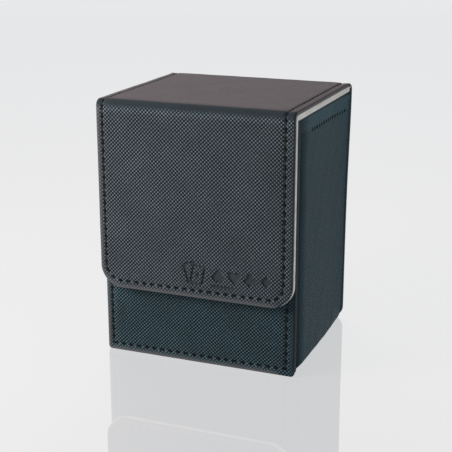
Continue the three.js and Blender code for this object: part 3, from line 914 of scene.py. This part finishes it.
def side_relief(y, t):
    """Slack leather: its height, and its seam and painted light, with a stitched row and creases under the
    rim: a painted highlight above the row and higher up, and painted shade in the creases and behind the
    front wall.
    """
    row = t - T_ROW
    height = -0.12 + 0.08 * ripple(1.3 * y, 0.8 * t)
    inside = ramp(y, SIDE_SEAM_LOW[1] - 1, SIDE_SEAM_LOW[1] + 0.5)
    inside = inside * (1 - ramp(y, SIDE_SEAM_HIGH[1] - 0.5, SIDE_SEAM_HIGH[1] + 1))
    turns = (y - SIDE_SEAM_LOW[1]) / SIDE_PITCH - 0.5
    height -= (0.06 + 0.38 * under_stitch(turns)) * inside * bell(row, 0.55)
    # A painted highlight above the stitched row, and a little more high up the side.
    dark = -0.42 * ramp(row, 0.2, 1.0) - 0.1 * ramp(row + SIDE_ROW, 70, 90)
    for above, depth in ((1.7, 0.1), (3.1, 0.07), (4.4, 0.05)):
        crease = depth * bell(row - above, 0.35)
        height -= crease
        # Painted shade in each crease.
        dark = dark + 1.6 * crease
    valley = bell(y - SIDE_LOW[1] - 3, 4.2)  # where the leather rolls in behind the front wall, which gets painted shade
    seam = np.stack([turns, 0.75 * np.abs(row) + FAR * (1 - inside), 0 * row], 1)
    return np.minimum(height, 0), seam, dark + 0.85 * valley


def side_cover(name, sign, node):
    """One side's leather, mirrored for the left."""
    t = np.unique(np.round(np.concatenate([
        np.linspace(0, T_FOOT, 7),
        np.arange(T_FOOT + 0.8, T_ROW - 2, 0.9),
        np.arange(T_ROW - 2, T_RIM - 0.2, 0.2),
        np.linspace(T_RIM, T_OVER, 9),
        np.linspace(T_OVER, T_END, 5),
    ]), 5))
    y = np.linspace(SIDE_LOW[1], SIDE_HIGH[1], 160)
    tt, yy = (v.ravel() for v in np.meshgrid(t, y, indexing="ij"))
    height, *looks = side_relief(yy, tt)
    points = side_place(yy, tt, height) * (sign, 1, 1)
    # Nearness to the rim and the foot, which the leather material makes lighter: partly scuffing, partly a
    # painted highlight.
    edge = np.exp(-np.minimum(np.abs(tt - T_RIM - 1), tt) / 1.2)
    sheet = points, grid_quads(len(t), len(y)), np.stack([yy, tt], 1), edge, *looks
    finish_piece(add_sheet(name, sheet, SHEET, (sign, 0, 0.2), SIDE_LEATHER_PAINTED_SHADE), "box", "leatherette", node)


side_cover("right_side_leather", 1, "right_side_cover")
side_cover("left_side_leather", -1, "left_side_cover")


# --- bottom ---

def bottom_cover():
    """The leather under the box, inside the foot of the sides."""
    low, high = box_mm("bottom_cover")
    y = stations(low[1] + 0.1, high[1] - 0.1)
    share = np.linspace(-1, 1, 121)
    yy, uu = np.meshgrid(y, share, indexing="ij")
    half = high[0] - side_dip(yy, 0.0) - 0.1
    from_edge = np.minimum(half * (1 - np.abs(uu)), np.minimum(yy - y[0], y[-1] - yy))
    lift = 0.25 * np.exp(-from_edge / 0.3) + 0.02 * (1 + ripple(uu * half, yy))
    points = np.stack([uu * half, yy, low[2] + lift], -1).reshape(-1, 3)
    # Nearness to an edge, which the leather material makes lighter: partly scuffing, partly a painted
    # highlight.
    edge = np.exp(-from_edge.ravel() / 0.9)
    sheet = points, grid_quads(*yy.shape), points[:, :2], edge, no_seam(len(edge)), 0 * edge
    piece = add_sheet("bottom_leather", sheet, SHEET, (0, 0, -1), SIDE_LEATHER_PAINTED_SHADE)
    finish_piece(piece, "box", "leatherette", "bottom_cover")


bottom_cover()


# --- stitches ---

def one_stitch(length):
    """Rings of a stitch about its own middle: along it, across it, out of the leather, and its angle."""
    t = np.linspace(-1, 1, THREAD_RINGS)
    phi = np.arange(THREAD_SIDES) * 2 * math.pi / THREAD_SIDES
    tt, pp = np.meshgrid(t, phi, indexing="ij")
    radius = THREAD_R * np.sqrt(1 - 0.96 * np.abs(tt) ** 10)
    across = radius * np.cos(pp) + 0.13 * tt
    out = 0.85 * radius * np.sin(pp) - 0.34 * np.abs(tt) ** 5
    return tt * length / 2, across, out, pp


def add_stitches(name, points, strands):
    """Many stitches, each of THREAD_RINGS rings with closed ends, as one object."""
    ring, last = range(THREAD_SIDES), THREAD_SIDES * (THREAD_RINGS - 1)
    one = []
    for r in range(0, last, THREAD_SIDES):
        for i, j in zip(ring, [*ring[1:], 0]):
            one.append((r + i, r + j, r + THREAD_SIDES + j, r + THREAD_SIDES + i))
    one += [ring[::-1], [last + i for i in ring]]
    size = last + THREAD_SIDES
    faces = [[size * k + v for v in face] for k in range(len(points)) for face in one]
    strand = np.concatenate(strands)
    return add_mesh(name, np.concatenate(points), faces, THREAD, sharp=None, strand=strand)


def strand_values(along, phi):
    """What the thread's twist is drawn from: the length along the seam, and the turn round the thread."""
    return np.stack([along.ravel(), phi.ravel() / (2 * math.pi)], 1)


def seam_stitches(name, panel, low, high):
    """The stitches of a panel's seam whose middles lie between low and high along the panel."""
    points, strands = [], []
    pitch = panel.seam_length / panel.stitch_count
    for middle in pitch * np.arange(panel.stitch_count):
        if low <= panel.seam_at(middle)[1] < high:
            along, across, out, phi = one_stitch(STITCH_LENGTH)
            centre, ahead = panel.seam_at(middle + along), panel.seam_ahead(middle + along)
            a = centre[..., 0] - ahead[..., 1] * across
            b = centre[..., 1] + ahead[..., 0] * across
            points.append(panel.place(a.ravel(), b.ravel(), (out - STITCH_SUNK).ravel()))
            strands.append(strand_values(middle + along, phi))
    return add_stitches(name, points, strands)


def side_stitches(name, sign, node):
    """The row of stitches under a side's rim."""
    points, strands = [], []
    for k in range(int((SIDE_SEAM_HIGH[1] - SIDE_SEAM_LOW[1]) / SIDE_PITCH)):
        along, across, out, phi = one_stitch(SIDE_STITCH_LENGTH)
        y = SIDE_SEAM_LOW[1] + (k + 0.5) * SIDE_PITCH + along
        place = side_place(y.ravel(), (T_ROW + across).ravel(), (out - SIDE_STITCH_SUNK).ravel())
        points.append(place * (sign, 1, 1))
        strands.append(strand_values(y, phi))
    finish_piece(add_stitches(name, points, strands), "box", "thread", node)


for name, panel, low, high, body, *threads in (
    ("flap_stitches", strip, 0, S_FOLD, "flap", "flap_thread"),
    ("lid_stitches", strip, S_LID, S_REAR, "lid", "lid_thread_left", "lid_thread_right"),
    ("back_stitches", strip, S_BACK, S_END, "box", "back_thread"),
    ("front_wall_stitches", front, 0, RIM, "box", "front_thread"),
):
    finish_piece(seam_stitches(name, panel, low, high), body, "thread", *threads)
blended(seam_stitches("front_fold_stitches", strip, S_FOLD, S_LID), "flap", "lid", *FRONT_SPAN, "thread")
blended(seam_stitches("rear_fold_stitches", strip, S_REAR, S_BACK), "box", "lid", *REAR_SPAN, "thread")
side_stitches("right_side_stitches", 1, "right_side_thread")
side_stitches("left_side_stitches", -1, "left_side_thread")


# --- linings ---

PAD_ARC = 1.45  # how far from a fold's centre the lining boards' ends reach
REAR_PAD_ARC = 1.1
REAR_PAD_SHORT = 0.25  # how much shorter the lid's lining is at its face than over the rear fold
PAD_DEPTH = 2.35
MITRE = 0.04  # half the gap between the two mitred ends
PAD_PROUD = 0.45  # how far the lining's nap stands out past its board
FOLD_CLOTH = 0.3  # thickness of the lining in the folds
CLOTH_GAP = 0.02
CAP_R = 0.8  # rounding of the lining over the back wall's rim


def bent_end(k, centre_distance):
    """Where a mitred end is at depth k: straight to the arc about the fold's centre, then round it.

    Returns how far the point has moved back and how far it has moved up from the inside corner.
    """
    reach = centre_distance + PAD_ARC / math.sqrt(2)
    turn = math.pi / 4 * (1 + ramp(k, reach, PAD_DEPTH))
    back = np.where(k <= reach, k, centre_distance + PAD_ARC * np.sin(turn))
    up = np.where(k <= reach, k, centre_distance + PAD_ARC * np.cos(turn))
    return back, up


def add_pad(body, pad, wall, outside):
    """A pad's cloth, wrapped over the edges of its board. wall says where the turned edge goes."""
    columns, rows = stations(-pad.half, pad.half), stations(pad.low, pad.high)
    sheet = panel_sheet(pad, columns, rows, lining_relief, PAD_DEPTH, ("low", "high"), wall_place=wall)
    piece = add_sheet(body + "_lining_cloth", sheet, CLOTH, outside, LINING)
    finish_piece(piece, body, "microfibre", body + "_lining")


def flap_pad():
    """The pale lining of the flap, mitred at the fold."""
    face, top = FLAP_PAD_HIGH[1], LID_PAD_LOW[2] - MITRE
    corner = face + FOLD_Y  # the inside corner's distance from the fold's centre
    half, low = FLAP_PAD_HIGH[0] + PAD_PROUD, FLAP_PAD_LOW[2] - PAD_PROUD

    def place(a, b, n):
        return np.stack([a + 0 * n, face + n + 0 * a, b + 0 * n], -1)

    def wall(a, b, k):
        back, up = bent_end(k, corner)
        at_top = b > top - 1e-6
        return np.stack([a, np.where(at_top, face - back, face - k), np.where(at_top, top + up, b)], -1)

    add_pad("flap", Panel(half, low, top, (FLAP_CORNER, 0.0), place), wall, (0, 1, 0))


def lid_pad():
    """The pale lining of the lid: mitred at the front, and rounded to clear the rear fold."""
    face = LID_PAD_LOW[2]
    front_edge, rear_edge = FLAP_PAD_HIGH[1] + MITRE, FOLD_Y + REAR_PAD_ARC - REAR_PAD_SHORT
    corner = FOLD_Z - face

    def place(a, b, n):
        return np.stack([a + 0 * n, b + 0 * n, face - n + 0 * a], -1)

    def wall(a, b, k):
        # this end is the flap's one mirrored in the mitre, so back and up change places
        back, up = bent_end(k, corner)
        rear_turn = np.clip((k - corner) / REAR_PAD_ARC, 0, math.pi / 2)
        rear_y = FOLD_Y + REAR_PAD_ARC * np.cos(rear_turn) - REAR_PAD_SHORT * (1 - ramp(k, 0, corner))
        at_front, at_rear = b < front_edge + 1e-6, b > rear_edge - 1e-6
        y = np.where(at_front, front_edge - up, np.where(at_rear, rear_y, b))
        return np.stack([a, y, np.where(at_front, face + back, face + k)], -1)

    pad = Panel(LID_PAD_HIGH[0] + PAD_PROUD, front_edge, rear_edge, (0.0, 0.0), place)
    add_pad("lid", pad, wall, (0, 0, -1))


flap_pad()
lid_pad()


def profile_cloth(name, x, y, z, thickness, outside):
    """Cloth that follows a line of points in Y and Z, and is straight across from side to side."""
    zz, xx = np.meshgrid(z, x, indexing="ij")
    points = np.stack([xx, np.repeat(y[:, None], len(x), 1), zz], -1).reshape(-1, 3)
    return add_mesh(name, *thicken(points, grid_quads(*xx.shape), thickness, outside), LINING)


def fold_lining(name, side, inner, half, tail=0.0):
    """Cloth inside a fold: a quarter turn, with a straight tail down where there is room for one."""
    angle = np.radians(np.linspace(0, 90, 13))
    outer = inner + FOLD_CLOTH
    y = side * (FOLD_Y + outer * np.cos(angle))
    z = FOLD_Z + outer * np.sin(angle)
    if tail:
        y = np.r_[np.full(3, y[0]), y]
        z = np.r_[FOLD_Z - np.linspace(tail, 0, 4)[:-1], z]
    return profile_cloth(name, np.linspace(-half, half, 60), y, z, FOLD_CLOTH, (0, side, 1))


cloth = fold_lining("front_fold_lining", -1, PAD_ARC + 0.07, HALF - 1.7)
blended(cloth, "flap", "lid", *FRONT_SPAN, "microfibre", "front_hinge_lining")
cloth = fold_lining("rear_fold_lining", 1, REAR_PAD_ARC + 0.05, HALF - 0.4, FOLD_Z - CAP_HIGH[2] - 0.05)
blended(cloth, "box", "lid", *REAR_SPAN, "microfibre", "rear_hinge_lining")


def flat_lining(name, node, axis, sign):
    """Cloth glued flat to a wall inside the box, facing sign along axis."""
    low, high = box_mm(node)
    inner = -box_mm("left_side_lining")[0][0]
    low[0], high[0] = max(low[0], -inner), min(high[0], inner)
    u_axis, v_axis = [k for k in range(3) if k != axis]
    u = np.linspace(low[u_axis] + CLOTH_GAP, high[u_axis] - CLOTH_GAP, 70)
    v = np.linspace(low[v_axis] + CLOTH_GAP, high[v_axis] - CLOTH_GAP, 90)
    vv, uu = (w.ravel() for w in np.meshgrid(v, u, indexing="ij"))
    points, outside = np.zeros((len(uu), 3)), np.zeros(3)
    points[:, u_axis] = uu
    points[:, v_axis] = vv
    points[:, axis] = (high if sign > 0 else low)[axis] - sign * (0.04 + 0.03 * ripple(1.7 * uu, 1.3 * vv))
    outside[axis] = sign
    thickness = min(high[axis] - low[axis], CLOTH) - 0.1
    piece = add_mesh(name, *thicken(points, grid_quads(len(v), len(u)), thickness, outside), LINING)
    finish_piece(piece, "box", "microfibre", node)


flat_lining("right_wall_cloth", "right_side_lining", 0, -1)
flat_lining("left_wall_cloth", "left_side_lining", 0, 1)
flat_lining("front_wall_cloth", "front_lining", 1, 1)
flat_lining("floor_cloth", "bottom_lining", 2, 1)


def back_lining():
    """Cloth up the inside of the back wall and over its rim."""
    up = np.linspace(CAP_LOW[2], CAP_HIGH[2] - CAP_R, 90)
    angle = np.radians(np.linspace(0, 90, 8))[1:]
    over = np.linspace(CAP_LOW[1] + CAP_R, CAP_HIGH[1], 6)[1:]
    y = np.r_[np.full(len(up), CAP_LOW[1]), CAP_LOW[1] + CAP_R * (1 - np.cos(angle)), over]
    z = np.r_[up, CAP_HIGH[2] - CAP_R + CAP_R * np.sin(angle), np.full(len(over), CAP_HIGH[2])]
    x = np.linspace(CAP_LOW[0] + CLOTH_GAP, CAP_HIGH[0] - CLOTH_GAP, 70)
    piece = profile_cloth("back_wall_cloth", x, y, z, CLOTH, (0, -1, 0.3))
    finish_piece(piece, "box", "microfibre", "back_lining")


back_lining()


# --- CAD nodes that stay ---

for node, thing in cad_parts.items():
    material = MAGNET if "magnet" in node else GREYBOARD if node.endswith("board") else None
    if material:
        for held in thing.material_slots:
            held.material = material


# --- stage, light and camera ---

FLOOR_REACH, FLOOR_DROP = 6.0, -0.00005
LENS, SENSOR = 86.15, 36.0
EYE = (0.156768, -0.398946, 0.175728)
LOOK = (-0.352575, 0.890905, -0.286320)
MIDDLE = (0, 0, 0.06)
LAMPS = (  # name, place, size, power and colour
    ("key", (-0.24, -0.22, 0.21), (0.18, 0.18), 2.4, (1.0, 0.78, 0.73)),
    ("back", (-0.3, 0.6, 0.7), (0.6, 0.5), 7.2, (1.0, 0.84, 0.86)),
)
WORLD_RAMPS = (  # an axis of the direction looked in, the stretch of it, and the brightness at its ends
    (2, 0.08, 0.48, 0.34, 1.0),
    (2, 0.55, 0.85, 1.0, 0.3),
    (1, -0.3, 0.1, 0.38, 1.0),
    (0, 0.0, 0.8, 1.0, 0.75),
)


def add_floor():
    """A plain pale table top, lit from within as well as from above, wide enough to fill the view."""
    mesh = bpy.data.meshes.new("floor")
    corners = [(-1, -1), (1, -1), (1, 1), (-1, 1)]
    mesh.from_pydata([(FLOOR_REACH * x, FLOOR_REACH * y, FLOOR_DROP) for x, y in corners], [], [(0, 1, 2, 3)])
    mesh.materials.append(material_graph("floor_pale").finish(
        rgb(0.05, 0.05, 0.05), 0.02, IOR=2.1, Specular_Tint=rgb(1.0, 0.94, 0.88),
        Emission_Color=rgb(0.965, 0.982, 1.0), Emission_Strength=0.602,
    ))
    add_object("floor", mesh)


def aimed(thing, place, direction):
    thing.location = place
    thing.rotation_euler = Vector(direction).to_track_quat("-Z", "Y").to_euler()
    return thing


def add_lamps():
    for name, place, size, power, colour in LAMPS:
        light = bpy.data.lights.new(name, "AREA")
        light.shape = "RECTANGLE"
        light.size, light.size_y = size
        light.energy = power
        light.color = colour
        lamp = aimed(add_object(name, light), place, Vector(MIDDLE) - Vector(place))
        lamp.visible_glossy = False


def add_world():
    """A room with pale walls low down, darker overhead, in front and to the right."""
    world = bpy.data.worlds.new("studio")
    g = Graph(world)
    looked = g.split(g.node("ShaderNodeTexCoord").outputs["Generated"])
    strength = g.times(*(g.spread(looked[axis], *levels, smooth=True) for axis, *levels in WORLD_RAMPS))
    background = g.nodes["Background"]
    background.inputs["Color"].default_value = rgb(1.0, 1.0, 1.0)
    g.feed(background.inputs["Strength"], strength)
    bpy.context.scene.world = world


def add_camera():
    camera = bpy.data.cameras.new("view")
    camera.sensor_fit = "HORIZONTAL"
    camera.sensor_width = SENSOR
    camera.lens = LENS
    camera.clip_start = 0.01
    bpy.context.scene.camera = aimed(add_object("view", camera), EYE, LOOK)


add_camera()
add_floor()
add_world()
add_lamps()
bpy.context.scene.view_settings.view_transform = "Standard"
